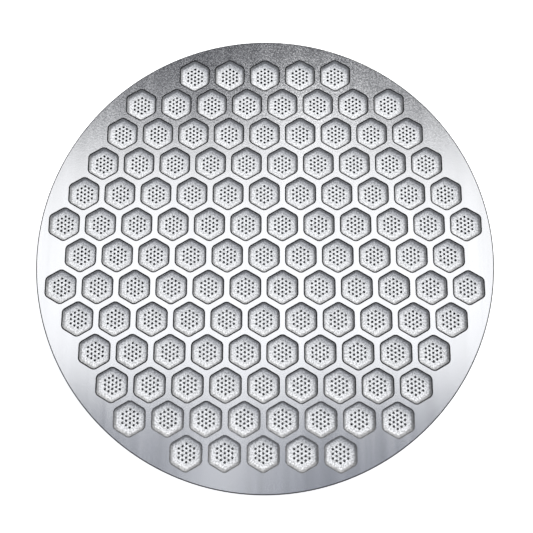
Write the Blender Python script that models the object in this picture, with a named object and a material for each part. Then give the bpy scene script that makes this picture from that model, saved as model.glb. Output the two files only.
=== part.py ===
"""Espresso puck screen: one round stainless plate, etched from both sides.

Hexagonal pockets are etched part way down from the top face, packed as a honeycomb. A fine hole
goes on from each pocket's floor through the underside. The plate lies on the bed of ground coffee
with its flat underside down, and the pockets spread the water that comes from above.

Metres, +Z up. The origin is the centre of the underside. The rows of pockets run along X.
"""

import math

import bmesh
import bpy
from mathutils import Matrix, Vector

# The plate: a filter basket 58 mm across takes a screen half a millimetre wider
PLATE_DIAMETER = 0.0585
PLATE_THICKNESS = 0.0008
RIM_BREAK = 0.00012
RIM_SIDES = 96

# The pockets, measured in the top face, and the plate that is left between and below them
POCKET_WIDTH = 0.0040
WEB_WIDTH = 0.0007
BORDER_WIDTH = 0.0008
FLOOR_THICKNESS = 0.0004

# Etching leaves the pockets' walls leaning outwards, and their corners broken
WALL_LEAN = math.radians(40)
CORNER_BREAK = 0.0002

# The hole through each pocket's floor
HOLE_DIAMETER = 0.00032
HOLE_SIDES = 6

# How far a cutter reaches past the face that it opens
OVERCUT = PLATE_THICKNESS / 8

STEEL_COLOUR = (0.72, 0.73, 0.74, 1.0)
STEEL_ROUGHNESS = 0.38
SHARP_ANGLE = math.radians(30)

HEXAGON_SIDES = 6
POCKET_PITCH = POCKET_WIDTH + WEB_WIDTH
ROW_SPACING = POCKET_PITCH * math.cos(math.pi / HEXAGON_SIDES)


def corner_radius(width):
    """From a hexagon's centre to its corners, for this width across flats."""
    return width / 2 / math.cos(math.pi / HEXAGON_SIDES)


def fits_in_plate(centre):
    """True where a pocket at this centre leaves the whole border solid."""
    allowed = PLATE_DIAMETER / 2 - BORDER_WIDTH
    for corner in range(HEXAGON_SIDES):
        angle = math.pi / 2 + corner * 2 * math.pi / HEXAGON_SIDES
        reach = corner_radius(POCKET_WIDTH) * Vector((math.cos(angle), math.sin(angle), 0))
        if (centre + reach).length > allowed:
            return False
    return True


def pocket_centres():
    """The honeycomb's centres. Every other row is shifted by half a pitch."""
    rows = math.ceil(PLATE_DIAMETER / 2 / ROW_SPACING)
    columns = math.ceil(PLATE_DIAMETER / 2 / POCKET_PITCH)
    centres = []
    for row in range(-rows, rows + 1):
        shift = POCKET_PITCH / 2 if row % 2 else 0
        for column in range(-columns - 1, columns + 1):
            centre = Vector((column * POCKET_PITCH + shift, row * ROW_SPACING, 0))
            if fits_in_plate(centre):
                centres.append(centre)
    return centres


def level(edge):
    return edge.verts[0].co.z == edge.verts[1].co.z


def break_edges(cage, edges, width):
    """A flat bevel of this width on each of these edges."""
    bmesh.ops.bevel(
        cage,
        geom=edges,
        affect="EDGES",
        offset=width,
        offset_type="OFFSET",
        segments=1,
        profile=0.5,
        material=-1,
    )


def new_object(name, cage, collection):
    """An object whose mesh is what this bmesh holds."""
    mesh = bpy.data.meshes.new(name)
    cage.to_mesh(mesh)
    cage.free()
    made = bpy.data.objects.new(name, mesh)
    collection.objects.link(made)
    return made


def make_blank(collection):
    """The round plate before etching, with both edges of its rim broken."""
    cage = bmesh.new()
    bmesh.ops.create_cone(
        cage,
        cap_ends=True,
        segments=RIM_SIDES,
        radius1=PLATE_DIAMETER / 2,
        radius2=PLATE_DIAMETER / 2,
        depth=PLATE_THICKNESS,
        matrix=Matrix.Translation((0, 0, PLATE_THICKNESS / 2)),
    )
    break_edges(cage, [edge for edge in cage.edges if level(edge)], RIM_BREAK)
    blank = new_object("puck_screen", cage, collection)
    blank.data.shade_smooth()
    blank.data.set_sharp_from_angle(angle=SHARP_ANGLE)
    return blank


def make_pocket_plugs(centres, collection):
    """One hexagonal plug for each pocket, from its floor to just above the top face."""
    plug_height = PLATE_THICKNESS - FLOOR_THICKNESS + OVERCUT
    head_width = POCKET_WIDTH + 2 * OVERCUT * math.tan(WALL_LEAN)
    foot_width = head_width - 2 * plug_height * math.tan(WALL_LEAN)
    cage = bmesh.new()
    for centre in centres:
        bmesh.ops.create_cone(
            cage,
            cap_ends=True,
            segments=HEXAGON_SIDES,
            radius1=corner_radius(foot_width),
            radius2=corner_radius(head_width),
            depth=plug_height,
            matrix=Matrix.Translation(centre + Vector((0, 0, FLOOR_THICKNESS + plug_height / 2))),
        )
    break_edges(cage, [edge for edge in cage.edges if not level(edge)], CORNER_BREAK)
    return new_object("pocket_plugs", cage, collection)


def make_hole_pins(centres, collection):
    """One pin for each pocket, through the middle of its floor."""
    cage = bmesh.new()
    for centre in centres:
        bmesh.ops.create_cone(
            cage,
            cap_ends=True,
            segments=HOLE_SIDES,
            radius1=HOLE_DIAMETER / 2,
            radius2=HOLE_DIAMETER / 2,
            depth=FLOOR_THICKNESS + 2 * OVERCUT,
            matrix=Matrix.Translation(centre + Vector((0, 0, FLOOR_THICKNESS / 2))),
        )
    return new_object("hole_pins", cage, collection)


def cut(target, cutter):
    """Takes the cutter's shape out of the target, and leaves the cutter out of renders."""
    cutter.hide_render = True
    cutter.display_type = "WIRE"
    boolean = target.modifiers.new(cutter.name, "BOOLEAN")
    boolean.operation = "DIFFERENCE"
    boolean.solver = "EXACT"
    boolean.object = cutter


def steel():
    material = bpy.data.materials.new("satin_stainless_steel")
    material.use_nodes = True
    shader = material.node_tree.nodes["Principled BSDF"]
    shader.inputs["Base Color"].default_value = STEEL_COLOUR
    shader.inputs["Metallic"].default_value = 1.0
    shader.inputs["Roughness"].default_value = STEEL_ROUGHNESS
    return material


def new_collection(name):
    collection = bpy.data.collections.new(name)
    bpy.context.scene.collection.children.link(collection)
    return collection


def build():
    for leftover in list(bpy.data.objects):
        bpy.data.objects.remove(leftover)
    parts = new_collection("espresso_puck_screen")
    cutters = new_collection("cutters")
    centres = pocket_centres()
    screen = make_blank(parts)
    screen.data.materials.append(steel())
    cut(screen, make_pocket_plugs(centres, cutters))
    cut(screen, make_hole_pins(centres, cutters))


build()
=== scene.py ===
import math

import bmesh
import bpy
from mathutils import Matrix, Vector


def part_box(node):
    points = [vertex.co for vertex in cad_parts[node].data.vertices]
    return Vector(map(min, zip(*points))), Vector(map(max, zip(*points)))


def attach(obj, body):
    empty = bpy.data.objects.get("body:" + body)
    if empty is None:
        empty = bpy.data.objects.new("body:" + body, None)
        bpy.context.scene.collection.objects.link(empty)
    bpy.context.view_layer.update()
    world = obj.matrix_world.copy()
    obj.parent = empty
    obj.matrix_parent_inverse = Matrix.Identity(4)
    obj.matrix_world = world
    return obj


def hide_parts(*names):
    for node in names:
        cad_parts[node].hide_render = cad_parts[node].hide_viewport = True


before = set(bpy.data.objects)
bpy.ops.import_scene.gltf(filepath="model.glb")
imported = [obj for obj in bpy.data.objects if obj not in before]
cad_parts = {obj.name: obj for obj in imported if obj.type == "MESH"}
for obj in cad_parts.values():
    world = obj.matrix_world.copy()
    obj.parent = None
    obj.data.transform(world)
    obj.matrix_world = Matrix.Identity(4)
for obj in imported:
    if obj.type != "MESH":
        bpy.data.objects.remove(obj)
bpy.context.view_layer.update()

# The camera hangs seven centimetres above the plate, a little towards its near edge, and looks
# almost straight down at it, so that the far rows of pockets look slightly smaller.
PLATE_LOW, PLATE_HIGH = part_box("puck_screen")
PLATE_RADIUS = (PLATE_HIGH[0] - PLATE_LOW[0]) / 2
PLATE_TOP = PLATE_HIGH[2]
CAMERA_LENS = 38
CAMERA_SENSOR = 36
CAMERA_NEAREST = 0.001
CAMERA_TARGET = Vector((0.00032, -0.00143, PLATE_TOP))
CAMERA_DISTANCE = 0.0716
CAMERA_TILT = math.radians(8.44)
CAMERA_YAW = math.radians(-0.68)
CAMERA_ROLL = math.radians(0.2)

camera_data = bpy.data.cameras.new("camera")
camera_data.lens = CAMERA_LENS
camera_data.sensor_width = CAMERA_SENSOR
camera_data.clip_start = CAMERA_NEAREST
camera = bpy.data.objects.new("camera", camera_data)
bpy.context.scene.collection.objects.link(camera)
bpy.context.scene.camera = camera

forward = Vector((
    math.sin(CAMERA_YAW) * math.cos(CAMERA_TILT),
    math.sin(CAMERA_TILT),
    -math.cos(CAMERA_YAW) * math.cos(CAMERA_TILT),
)).normalized()
right = forward.cross(Vector((0, 1, 0))).normalized()
upright = Matrix((right, right.cross(forward), -forward)).transposed().to_4x4()
camera.matrix_world = (
    Matrix.Translation(CAMERA_TARGET - forward * CAMERA_DISTANCE)
    @ upright
    @ Matrix.Rotation(CAMERA_ROLL, 4, "Z")
)

# The screen is one stainless plate, etched from both sides. Its top face keeps a honeycomb of
# full-thickness webs, and each pocket between them has a thin floor with nineteen fine holes.
RIM_ROUND = 0.00018
RIM_ROUND_STEPS = 4
RIM_STEPS = 192
POCKET_WIDTH = 0.00405
WEB_WIDTH = 0.00065
BORDER_WIDTH = 0.0008
FLOOR_TOP = 0.0004
HOLE_DIAMETER = 0.00032
HOLE_SPACING = 0.00054
HOLE_SIDES = 10
HOLE_RINGS = 2
HEXAGON_SIDES = 6
POCKET_PITCH = POCKET_WIDTH + WEB_WIDTH
ROW_SHARE = math.cos(math.pi / HEXAGON_SIDES)

# A pocket's wall, as how far in from its edge and how far down from the top face it has come: a
# nearly level lip, a steep drop under it, and a hollow that runs out level in the floor
POCKET_SECTION = (
    (0.00005, 0.000006),
    (0.000155, 0.00003),
    (0.000185, 0.0002),
    (0.00024, 0.000315),
    (0.00032, 0.00036),
    (0.00041, 0.000386),
    (0.0005, 0.000396),
    (0.0006, PLATE_TOP - FLOOR_TOP),
)

# More than the wall's whole way in, so that the corners are still round down at the floor
CORNER_ROUND = 0.00066
CORNER_STEPS = 4

# Points closer than this are one, and heights closer than this are the same
MERGE = 0.000002

# The places of the plate's three finishes in its mesh
STEEL, ETCHED, CUT = 0, 1, 2


def corner_radius(width):
    """From a hexagon's centre to its corners, for this width across flats."""
    return width / 2 / math.cos(math.pi / HEXAGON_SIDES)


def pocket_fits(centre):
    """True where a pocket at this centre leaves the plate's border solid."""
    corners = [
        centre + corner_radius(POCKET_WIDTH) * Vector((math.sin(angle), math.cos(angle), 0))
        for angle in (corner * math.tau / HEXAGON_SIDES for corner in range(HEXAGON_SIDES))
    ]
    return all(corner.length <= PLATE_RADIUS - BORDER_WIDTH for corner in corners)


def pocket_centres():
    """The honeycomb's centres. Its rows run along X, and every other one is half a pitch over."""
    reach = math.ceil(PLATE_RADIUS / POCKET_PITCH)
    centres = []
    for row in range(-reach, reach + 1):
        shift = POCKET_PITCH / 2 if row % 2 else 0
        for column in range(-reach - 1, reach + 1):
            centre = Vector((column * POCKET_PITCH + shift, row * POCKET_PITCH * ROW_SHARE, 0))
            if pocket_fits(centre):
                centres.append(centre)
    return centres


def hole_centres():
    """A middle hole and two hexagonal rings of holes round it, in a floor at the origin."""
    centres = []
    for along in range(-HOLE_RINGS, HOLE_RINGS + 1):
        for up in range(-HOLE_RINGS, HOLE_RINGS + 1):
            if abs(along + up) <= HOLE_RINGS:
                across = along * HOLE_SPACING * ROW_SHARE
                centres.append(Vector((across, (up + along / 2) * HOLE_SPACING, FLOOR_TOP)))
    return centres


def outline(cage, sides, radius, centre):
    """A flat ring of edges round this centre."""
    made = bmesh.ops.create_circle(
        cage, segments=sides, radius=radius, matrix=Matrix.Translation(centre)
    )
    return [edge for vert in made["verts"] for edge in vert.link_edges if edge.verts[0] is vert]


def fill(cage, edges, finish):
    """Faces the area between an outer outline and those inside it."""
    made = bmesh.ops.triangle_fill(
        cage, use_beauty=True, use_dissolve=False, edges=edges, normal=(0, 0, 1)
    )
    for item in made["geom"]:
        if isinstance(item, bmesh.types.BMFace):
            item.material_index = finish


def open_edges(cage, height):
    """The edges at this height that a face is still missing from."""
    return [
        edge
        for edge in cage.edges
        if len(edge.link_faces) < 2 and all(abs(vert.co.z - height) < MERGE for vert in edge.verts)
    ]


def make_cell():
    """One cell of the honeycomb: a hexagon of plate with its pocket, floor and holes."""
    cage = bmesh.new()
    made = bmesh.ops.create_circle(
        cage,
        cap_ends=True,
        segments=HEXAGON_SIDES,
        radius=corner_radius(POCKET_WIDTH),
        matrix=Matrix.Translation((0, 0, PLATE_TOP)),
    )
    bmesh.ops.bevel(
        cage,
        geom=made["verts"],
        affect="VERTICES",
        offset=CORNER_ROUND * math.tan(math.pi / HEXAGON_SIDES),
        offset_type="OFFSET",
        segments=CORNER_STEPS,
        profile=0.5,
        material=-1,
    )

    # The pocket sinks step by step from its edge to its floor
    floor = cage.faces[:][0]
    reached = (0, 0)
    for step in POCKET_SECTION:
        bmesh.ops.inset_region(
            cage,
            faces=[floor],
            thickness=step[0] - reached[0],
            depth=reached[1] - step[1],
            use_boundary=True,
            use_even_offset=True,
        )
        reached = step
    for face in cage.faces:
        face.material_index = ETCHED
        face.smooth = face is not floor
    floor_verts = list(floor.verts)
    bmesh.ops.delete(cage, geom=[floor], context="FACES_ONLY")
    bmesh.ops.remove_doubles(cage, verts=floor_verts, dist=MERGE)

    # The floor is filled in again round its holes, which go on down through the underside
    hole_edges = []
    for centre in hole_centres():
        hole_edges += outline(cage, HOLE_SIDES, HOLE_DIAMETER / 2, centre)
    fill(cage, open_edges(cage, FLOOR_TOP), ETCHED)
    walls = bmesh.ops.extrude_edge_only(cage, edges=hole_edges)["geom"]
    for item in walls:
        if isinstance(item, bmesh.types.BMFace):
            item.material_index = ETCHED
            item.smooth = True
    low_verts = [item for item in walls if isinstance(item, bmesh.types.BMVert)]
    bmesh.ops.translate(cage, verts=low_verts, vec=(0, 0, -FLOOR_TOP))

    # Webs on top and plain plate below, out to the middle of the webs
    for height in (PLATE_TOP, 0):
        outline(cage, HEXAGON_SIDES, corner_radius(POCKET_PITCH), (0, 0, height))
        fill(cage, open_edges(cage, height), STEEL)
    return cage


def make_rim():
    """The plate's edge, rounded over above and below, as a ring that is open inside."""
    cage = bmesh.new()
    section = []
    for step in range(RIM_ROUND_STEPS + 1):
        turn = step / RIM_ROUND_STEPS * math.pi / 2
        section.append((
            PLATE_RADIUS - RIM_ROUND + RIM_ROUND * math.sin(turn),
            PLATE_TOP - RIM_ROUND + RIM_ROUND * math.cos(turn),
        ))
    section += [(reach, PLATE_TOP - height) for reach, height in reversed(section)]
    verts = [cage.verts.new((reach, 0, height)) for reach, height in section]
    edges = [cage.edges.new(pair) for pair in zip(verts, verts[1:])]
    bmesh.ops.spin(
        cage,
        geom=verts + edges,
        cent=(0, 0, 0),
        axis=(0, 0, 1),
        angle=math.tau,
        steps=RIM_STEPS,
        use_merge=True,
    )
    for face in cage.faces:
        face.smooth = True
        face.material_index = CUT
    return cage


def make_plate():
    """The rim, the cells side by side inside it, and the plain border between them."""
    cage = make_rim()
    cell = make_cell()
    cell_mesh = bpy.data.meshes.new("cell")
    cell.to_mesh(cell_mesh)
    cell.free()
    here = Vector((0, 0, 0))
    for centre in pocket_centres():
        cell_mesh.transform(Matrix.Translation(centre - here))
        cage.from_mesh(cell_mesh)
        here = centre
    bpy.data.meshes.remove(cell_mesh)
    bmesh.ops.remove_doubles(cage, verts=cage.verts, dist=MERGE)
    for height in (PLATE_TOP, 0):
        fill(cage, open_edges(cage, height), STEEL)
    bmesh.ops.recalc_face_normals(cage, faces=cage.faces)
    return cage


def feed(tree, value, socket):
    """Joins another node's output to this socket, or sets a plain value on it."""
    if isinstance(value, bpy.types.NodeSocket):
        tree.links.new(value, socket)
    else:
        socket.default_value = value


def axes(tree, kind):
    """Texture coordinates of this kind, whole and as X, Y and Z."""
    whole = tree.nodes.new("ShaderNodeTexCoord").outputs[kind]
    parts = tree.nodes.new("ShaderNodeSeparateXYZ")
    tree.links.new(whole, parts.inputs["Vector"])
    return whole, parts.outputs


def noise(tree, place, scale, detail, roughness=0.5):
    texture = tree.nodes.new("ShaderNodeTexNoise")
    texture.inputs["Scale"].default_value = scale
    texture.inputs["Detail"].default_value = detail
    texture.inputs["Roughness"].default_value = roughness
    tree.links.new(place, texture.inputs["Vector"])
    return texture.outputs["Fac"]


def carry_over(tree, value, given, wanted=(0, 1)):
    """Goes from the first to the second wanted number as the value does between the given two."""
    node = tree.nodes.new("ShaderNodeMapRange")
    node.inputs["From Min"].default_value = given[0]
    node.inputs["From Max"].default_value = given[1]
    node.inputs["To Min"].default_value = wanted[0]
    node.inputs["To Max"].default_value = wanted[1]
    tree.links.new(value, node.inputs["Value"])
    return node.outputs["Result"]


# Nearly all of a noise lies between these
NOISE_SPAN = (0.3, 0.7)

# The colour sockets of a Mix node, which has others with the same names
FIRST_COLOUR, SECOND_COLOUR, MIXED_COLOUR = 6, 7, 2


def mix(tree, blend, share, first, second):
    """Two colours blended in this way, by this share of the second."""
    node = tree.nodes.new("ShaderNodeMix")
    node.data_type = "RGBA"
    node.blend_type = blend
    feed(tree, share, node.inputs["Factor"])
    feed(tree, first, node.inputs[FIRST_COLOUR])
    feed(tree, second, node.inputs[SECOND_COLOUR])
    return node.outputs[MIXED_COLOUR]


def reckon(tree, operation, first, second):
    node = tree.nodes.new("ShaderNodeMath")
    node.operation = operation
    feed(tree, first, node.inputs[0])
    feed(tree, second, node.inputs[1])
    return node.outputs["Value"]


def roughen(tree, shader, height, strength, depth):
    """Bumps of this depth in the shader's surface."""
    bump = tree.nodes.new("ShaderNodeBump")
    bump.inputs["Distance"].default_value = depth
    feed(tree, strength, bump.inputs["Strength"])
    tree.links.new(height, bump.inputs["Height"])
    tree.links.new(bump.outputs["Normal"], shader.inputs["Normal"])


def new_material(name, metallic):
    material = bpy.data.materials.new(name)
    material.use_nodes = True
    tree = material.node_tree
    shader = tree.nodes["Principled BSDF"]
    shader.inputs["Metallic"].default_value = metallic
    return material, tree, shader


# The plate's faces are as the sheet was rolled: faint streaks along Y, and a fine grain that is
# coarser and speckled towards the far side
SATIN_COLOUR = (0.78, 0.783, 0.789, 1)
STREAK_SCALE = 700
STREAK_DETAIL = 2
STREAK_STRETCH = (1, 0.04, 1)
STREAK_TONES = (0.93, 1.05)
STREAK_ROUGHNESS = (0.22, 0.26)
SPECK_SCALE = 4700
SPECK_DETAIL = 0
SPECK_CONTRAST = (-0.4, 1.4)
SPECK_DARK = (0.55, 0.555, 0.565, 1)
SPECK_PALE = (0.98, 0.985, 0.99, 1)
SPECKLED_BEYOND = (PLATE_RADIUS * 0.45, PLATE_RADIUS * 0.9)
GRAIN_SCALE = 4500
GRAIN_DETAIL = 1
GRAIN_DEPTH = 0.000005
GRAIN_STRENGTH = (0.1, 1)
GRAINY_BEYOND = (-PLATE_RADIUS, PLATE_RADIUS * 0.7)


def satin_steel():
    """Bright rolled steel, which mirrors softly."""
    material, tree, shader = new_material("satin_steel", 1)
    place, axis = axes(tree, "Object")
    stretch = tree.nodes.new("ShaderNodeMapping")
    stretch.inputs["Scale"].default_value = STREAK_STRETCH
    tree.links.new(place, stretch.inputs["Vector"])
    streaks = noise(tree, stretch.outputs["Vector"], STREAK_SCALE, STREAK_DETAIL)
    tree.links.new(
        carry_over(tree, streaks, NOISE_SPAN, STREAK_ROUGHNESS), shader.inputs["Roughness"]
    )

    specks = noise(tree, place, SPECK_SCALE, SPECK_DETAIL)
    contrast = carry_over(tree, specks, NOISE_SPAN, SPECK_CONTRAST)
    speckled = mix(tree, "MIX", contrast, SPECK_DARK, SPECK_PALE)
    far = carry_over(tree, axis["Y"], SPECKLED_BEYOND)
    colour = mix(tree, "MIX", far, SATIN_COLOUR, speckled)
    streaked = carry_over(tree, streaks, NOISE_SPAN, STREAK_TONES)
    tree.links.new(mix(tree, "MULTIPLY", 1, colour, streaked), shader.inputs["Base Color"])

    grain = noise(tree, place, GRAIN_SCALE, GRAIN_DETAIL)
    grainy = carry_over(tree, axis["Y"], GRAINY_BEYOND, GRAIN_STRENGTH)
    roughen(tree, shader, grain, grainy, GRAIN_DEPTH)
    return material


# Etching leaves the pockets matt and finely pitted. Shade is painted into them: pale on the floor
# and darker up the wall, given here as pairs of a height, as a share of the depth, and the grey
# there. The lip is painted nearly black as shade, and a little paler in the near rows as painted
# light. The holes are painted black as shade.
FLOOR_COLOUR = (0.93, 0.935, 0.93, 1)
WALL_SHADE_TONES = (
    (0.01, 0.92),
    (0.035, 0.82),
    (0.095, 0.52),
    (0.21, 0.4),
    (0.45, 0.36),
    (0.88, 0.36),
    (0.92, 0.02),
)
LIP_SHADE_COLOUR = (0.015, 0.015, 0.016, 1)
NEAR_LIP_LIGHT_COLOUR = (0.2, 0.2, 0.202, 1)
NEAR_BEYOND = (-PLATE_RADIUS * 0.56, -PLATE_RADIUS * 0.74)
HOLE_SHADE_COLOUR = (0.01, 0.01, 0.01, 1)
ETCHED_METALLIC = 0.25
PIT_SCALE = 4900
PIT_DETAIL = 0
PIT_TONES = (0.7, 1.24)
PIT_ROUGHNESS = (0.6, 0.75)
PIT_STRENGTH = 0.3
PIT_DEPTH = 0.00002


def etched_steel():
    """Matt steel, with shade painted by its height in the pocket and dark holes painted as shade.
    """
    material, tree, shader = new_material("etched_steel", ETCHED_METALLIC)
    place, axis = axes(tree, "Object")
    # Painted shade: the wall and lip get darker by their height in the pocket
    wall = tree.nodes.new("ShaderNodeValToRGB")
    wall.color_ramp.elements[0].color = FLOOR_COLOUR
    wall.color_ramp.elements[1].color = LIP_SHADE_COLOUR
    for share, grey in WALL_SHADE_TONES:
        wall.color_ramp.elements.new(share).color = (grey, grey, grey, 1)
    tree.links.new(carry_over(tree, axis["Z"], (FLOOR_TOP, PLATE_TOP)), wall.inputs["Fac"])

    # Painted light: the lip is paler in the near rows, where light from behind falls on it
    near = carry_over(tree, axis["Y"], NEAR_BEYOND)
    lit_near_lips = mix(tree, "LIGHTEN", near, wall.outputs["Color"], NEAR_LIP_LIGHT_COLOUR)
    pits = noise(tree, place, PIT_SCALE, PIT_DETAIL)
    pitted = mix(tree, "MULTIPLY", 1, lit_near_lips, carry_over(tree, pits, NOISE_SPAN, PIT_TONES))
    # Painted shade: the walls of the holes are painted nearly black
    in_hole = reckon(tree, "LESS_THAN", axis["Z"], FLOOR_TOP - MERGE)
    tree.links.new(mix(tree, "MIX", in_hole, pitted, HOLE_SHADE_COLOUR), shader.inputs["Base Color"])
    tree.links.new(carry_over(tree, pits, NOISE_SPAN, PIT_ROUGHNESS), shader.inputs["Roughness"])
    roughen(tree, shader, pits, PIT_STRENGTH, PIT_DEPTH)
    return material


# The rim is where the disc was cut from its sheet, and it is duller than the faces. It is
# painted dark as shade, with the marks of cutting in it
CUT_SCALE = 2500
CUT_DETAIL = 3
CUT_SOFTNESS = 0.6
RIM_SHADE_DARK = (0.04, 0.04, 0.042, 1)
RIM_SHADE_PALE = (0.09, 0.09, 0.092, 1)
CUT_SPAN = (0.35, 0.65)
CUT_ROUGHNESS = (0.4, 0.55)


def cut_steel():
    """Steel with the marks of cutting, painted dark as shade."""
    material, tree, shader = new_material("cut_steel", 1)
    place = tree.nodes.new("ShaderNodeTexCoord").outputs["Object"]
    marks = noise(tree, place, CUT_SCALE, CUT_DETAIL, CUT_SOFTNESS)
    rim_shade = tree.nodes.new("ShaderNodeValToRGB")
    for element, share, colour in zip(rim_shade.color_ramp.elements, CUT_SPAN, (RIM_SHADE_DARK, RIM_SHADE_PALE)):
        element.position = share
        element.color = colour
    tree.links.new(marks, rim_shade.inputs["Fac"])
    tree.links.new(rim_shade.outputs["Color"], shader.inputs["Base Color"])
    tree.links.new(carry_over(tree, marks, NOISE_SPAN, CUT_ROUGHNESS), shader.inputs["Roughness"])
    return material


plate_mesh = bpy.data.meshes.new("screen_plate")
cage = make_plate()
cage.to_mesh(plate_mesh)
cage.free()
plate_mesh.materials.append(satin_steel())
plate_mesh.materials.append(etched_steel())
plate_mesh.materials.append(cut_steel())
plate = bpy.data.objects.new("screen_plate", plate_mesh)
bpy.context.scene.collection.objects.link(plate)
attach(plate, "root")
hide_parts("puck_screen")

# The table is a plain white sheet, just under the plate, and takes its shadow. Away from the
# plate the camera and gloss see it lifted to paper white. Under the plate it isn't lifted, so
# that the holes are dark.
TABLE_SIZE = 3
TABLE_GAP = 0.00002
TABLE_COLOUR = (0.9, 0.9, 0.9, 1)
TABLE_ROUGHNESS = 0.9
TABLE_GLOSS = 0.1
TABLE_LIFT = 0.8
WHITE = (1, 1, 1, 1)

cage = bmesh.new()
bmesh.ops.create_grid(
    cage,
    x_segments=1,
    y_segments=1,
    size=TABLE_SIZE / 2,
    matrix=Matrix.Translation((0, 0, -TABLE_GAP)),
)
table_mesh = bpy.data.meshes.new("table")
cage.to_mesh(table_mesh)
cage.free()
table = bpy.data.objects.new("table", table_mesh)
bpy.context.scene.collection.objects.link(table)

table_paint, tree, shader = new_material("table_paint", 0)
shader.inputs["Base Color"].default_value = TABLE_COLOUR
shader.inputs["Roughness"].default_value = TABLE_ROUGHNESS
shader.inputs["Specular IOR Level"].default_value = TABLE_GLOSS
shader.inputs["Emission Color"].default_value = WHITE
rays = tree.nodes.new("ShaderNodeLightPath").outputs
seen = reckon(tree, "MAXIMUM", rays["Is Camera Ray"], rays["Is Glossy Ray"])
reach = tree.nodes.new("ShaderNodeVectorMath")
reach.operation = "LENGTH"
tree.links.new(tree.nodes.new("ShaderNodeTexCoord").outputs["Object"], reach.inputs[0])
outside = reckon(tree, "GREATER_THAN", reach.outputs["Value"], PLATE_RADIUS - RIM_ROUND)
lifted = reckon(tree, "MULTIPLY", seen, outside)
tree.links.new(
    reckon(tree, "MULTIPLY", lifted, TABLE_LIFT), shader.inputs["Emission Strength"]
)
table_mesh.materials.append(table_paint)

# Plain soft studio light. A wide panel above and four small strips are only there for the metal
# to mirror. A broad low window behind the plate and a faint ceiling give the diffuse light that
# shades the matt pockets, and aren't mirrored.
LAMP_HEIGHT = 0.4
OVERHEAD_Y = 0.065
OVERHEAD_SIZE = (0.65, 0.219)
OVERHEAD_RADIANCE = 1.25
STRIPS = (
    ("strip_far", (0.029, 0.168), (0.06, 0.08), 2.6),
    ("strip_right", (0.12, 0.19), (0.12, 0.08), 0.2),
    ("strip_near", (-0.04, -0.11), (0.02, 0.13), 1.9),
    ("strip_near_right", (0.075, -0.084), (0.12, 0.08), 0.09),
)
STRIP_TURN = math.radians(-12.4)
WINDOW_PLACE = (0.33, 0.76, 0.41)
WINDOW_SIZE = (1.4, 0.36)
WINDOW_RADIANCE = 9.6
CEILING_PLACE = (0, 0.1, 0.5)
CEILING_SIZE = (1, 0.8)
CEILING_RADIANCE = 0.32
PLATE_MIDDLE = (0, 0, 0)


def panel(name, place, target, size, radiance):
    """A rectangular soft light of this radiance, aimed at the target."""
    lamp = bpy.data.lights.new(name, "AREA")
    lamp.shape = "RECTANGLE"
    lamp.size, lamp.size_y = size
    lamp.energy = radiance * math.pi * size[0] * size[1]
    made = bpy.data.objects.new(name, lamp)
    made.location = place
    made.rotation_euler = (Vector(target) - Vector(place)).to_track_quat("-Z", "Y").to_euler()
    bpy.context.scene.collection.objects.link(made)
    return made


overhead = panel(
    "panel_overhead",
    (0, OVERHEAD_Y, LAMP_HEIGHT),
    (0, OVERHEAD_Y, 0),
    OVERHEAD_SIZE,
    OVERHEAD_RADIANCE,
)
overhead.visible_diffuse = False
for name, (x, y), size, radiance in STRIPS:
    strip = panel(name, (x, y, LAMP_HEIGHT), (x, y, 0), size, radiance)
    strip.rotation_euler.z = STRIP_TURN
    strip.visible_diffuse = False
window = panel("window_behind", WINDOW_PLACE, PLATE_MIDDLE, WINDOW_SIZE, WINDOW_RADIANCE)
window.visible_glossy = False
ceiling = panel("panel_ceiling", CEILING_PLACE, PLATE_MIDDLE, CEILING_SIZE, CEILING_RADIANCE)
ceiling.visible_glossy = False

# The room is dim: bluish grey on the near side and nearly black on the far side. The camera sees
# it white, and low down gloss sees it nearly white too, as it does the table.
ROOM_NEAR = (0.295, 0.32, 0.385, 1)
ROOM_FAR = (0.038, 0.04, 0.052, 1)
ROOM_TURN = (-0.5, 0.5)
PALE_BELOW = (0.82, 0.5)
PALE_SHARE = (0, 0.75)

world = bpy.data.worlds.new("room")
world.use_nodes = True
tree = world.node_tree
axis = axes(tree, "Generated")[1]
room = tree.nodes.new("ShaderNodeValToRGB")
room.color_ramp.elements[0].color = ROOM_NEAR
room.color_ramp.elements[1].color = ROOM_FAR
tree.links.new(carry_over(tree, axis["Y"], ROOM_TURN), room.inputs["Fac"])
rays = tree.nodes.new("ShaderNodeLightPath").outputs
low = carry_over(tree, axis["Z"], PALE_BELOW, PALE_SHARE)
mirrored = reckon(tree, "MULTIPLY", rays["Is Glossy Ray"], low)
seen = reckon(tree, "MAXIMUM", rays["Is Camera Ray"], mirrored)
backdrop = mix(tree, "MIX", seen, room.outputs["Color"], WHITE)
tree.links.new(backdrop, tree.nodes["Background"].inputs["Color"])
bpy.context.scene.world = world
bpy.context.scene.view_settings.view_transform = "Standard"
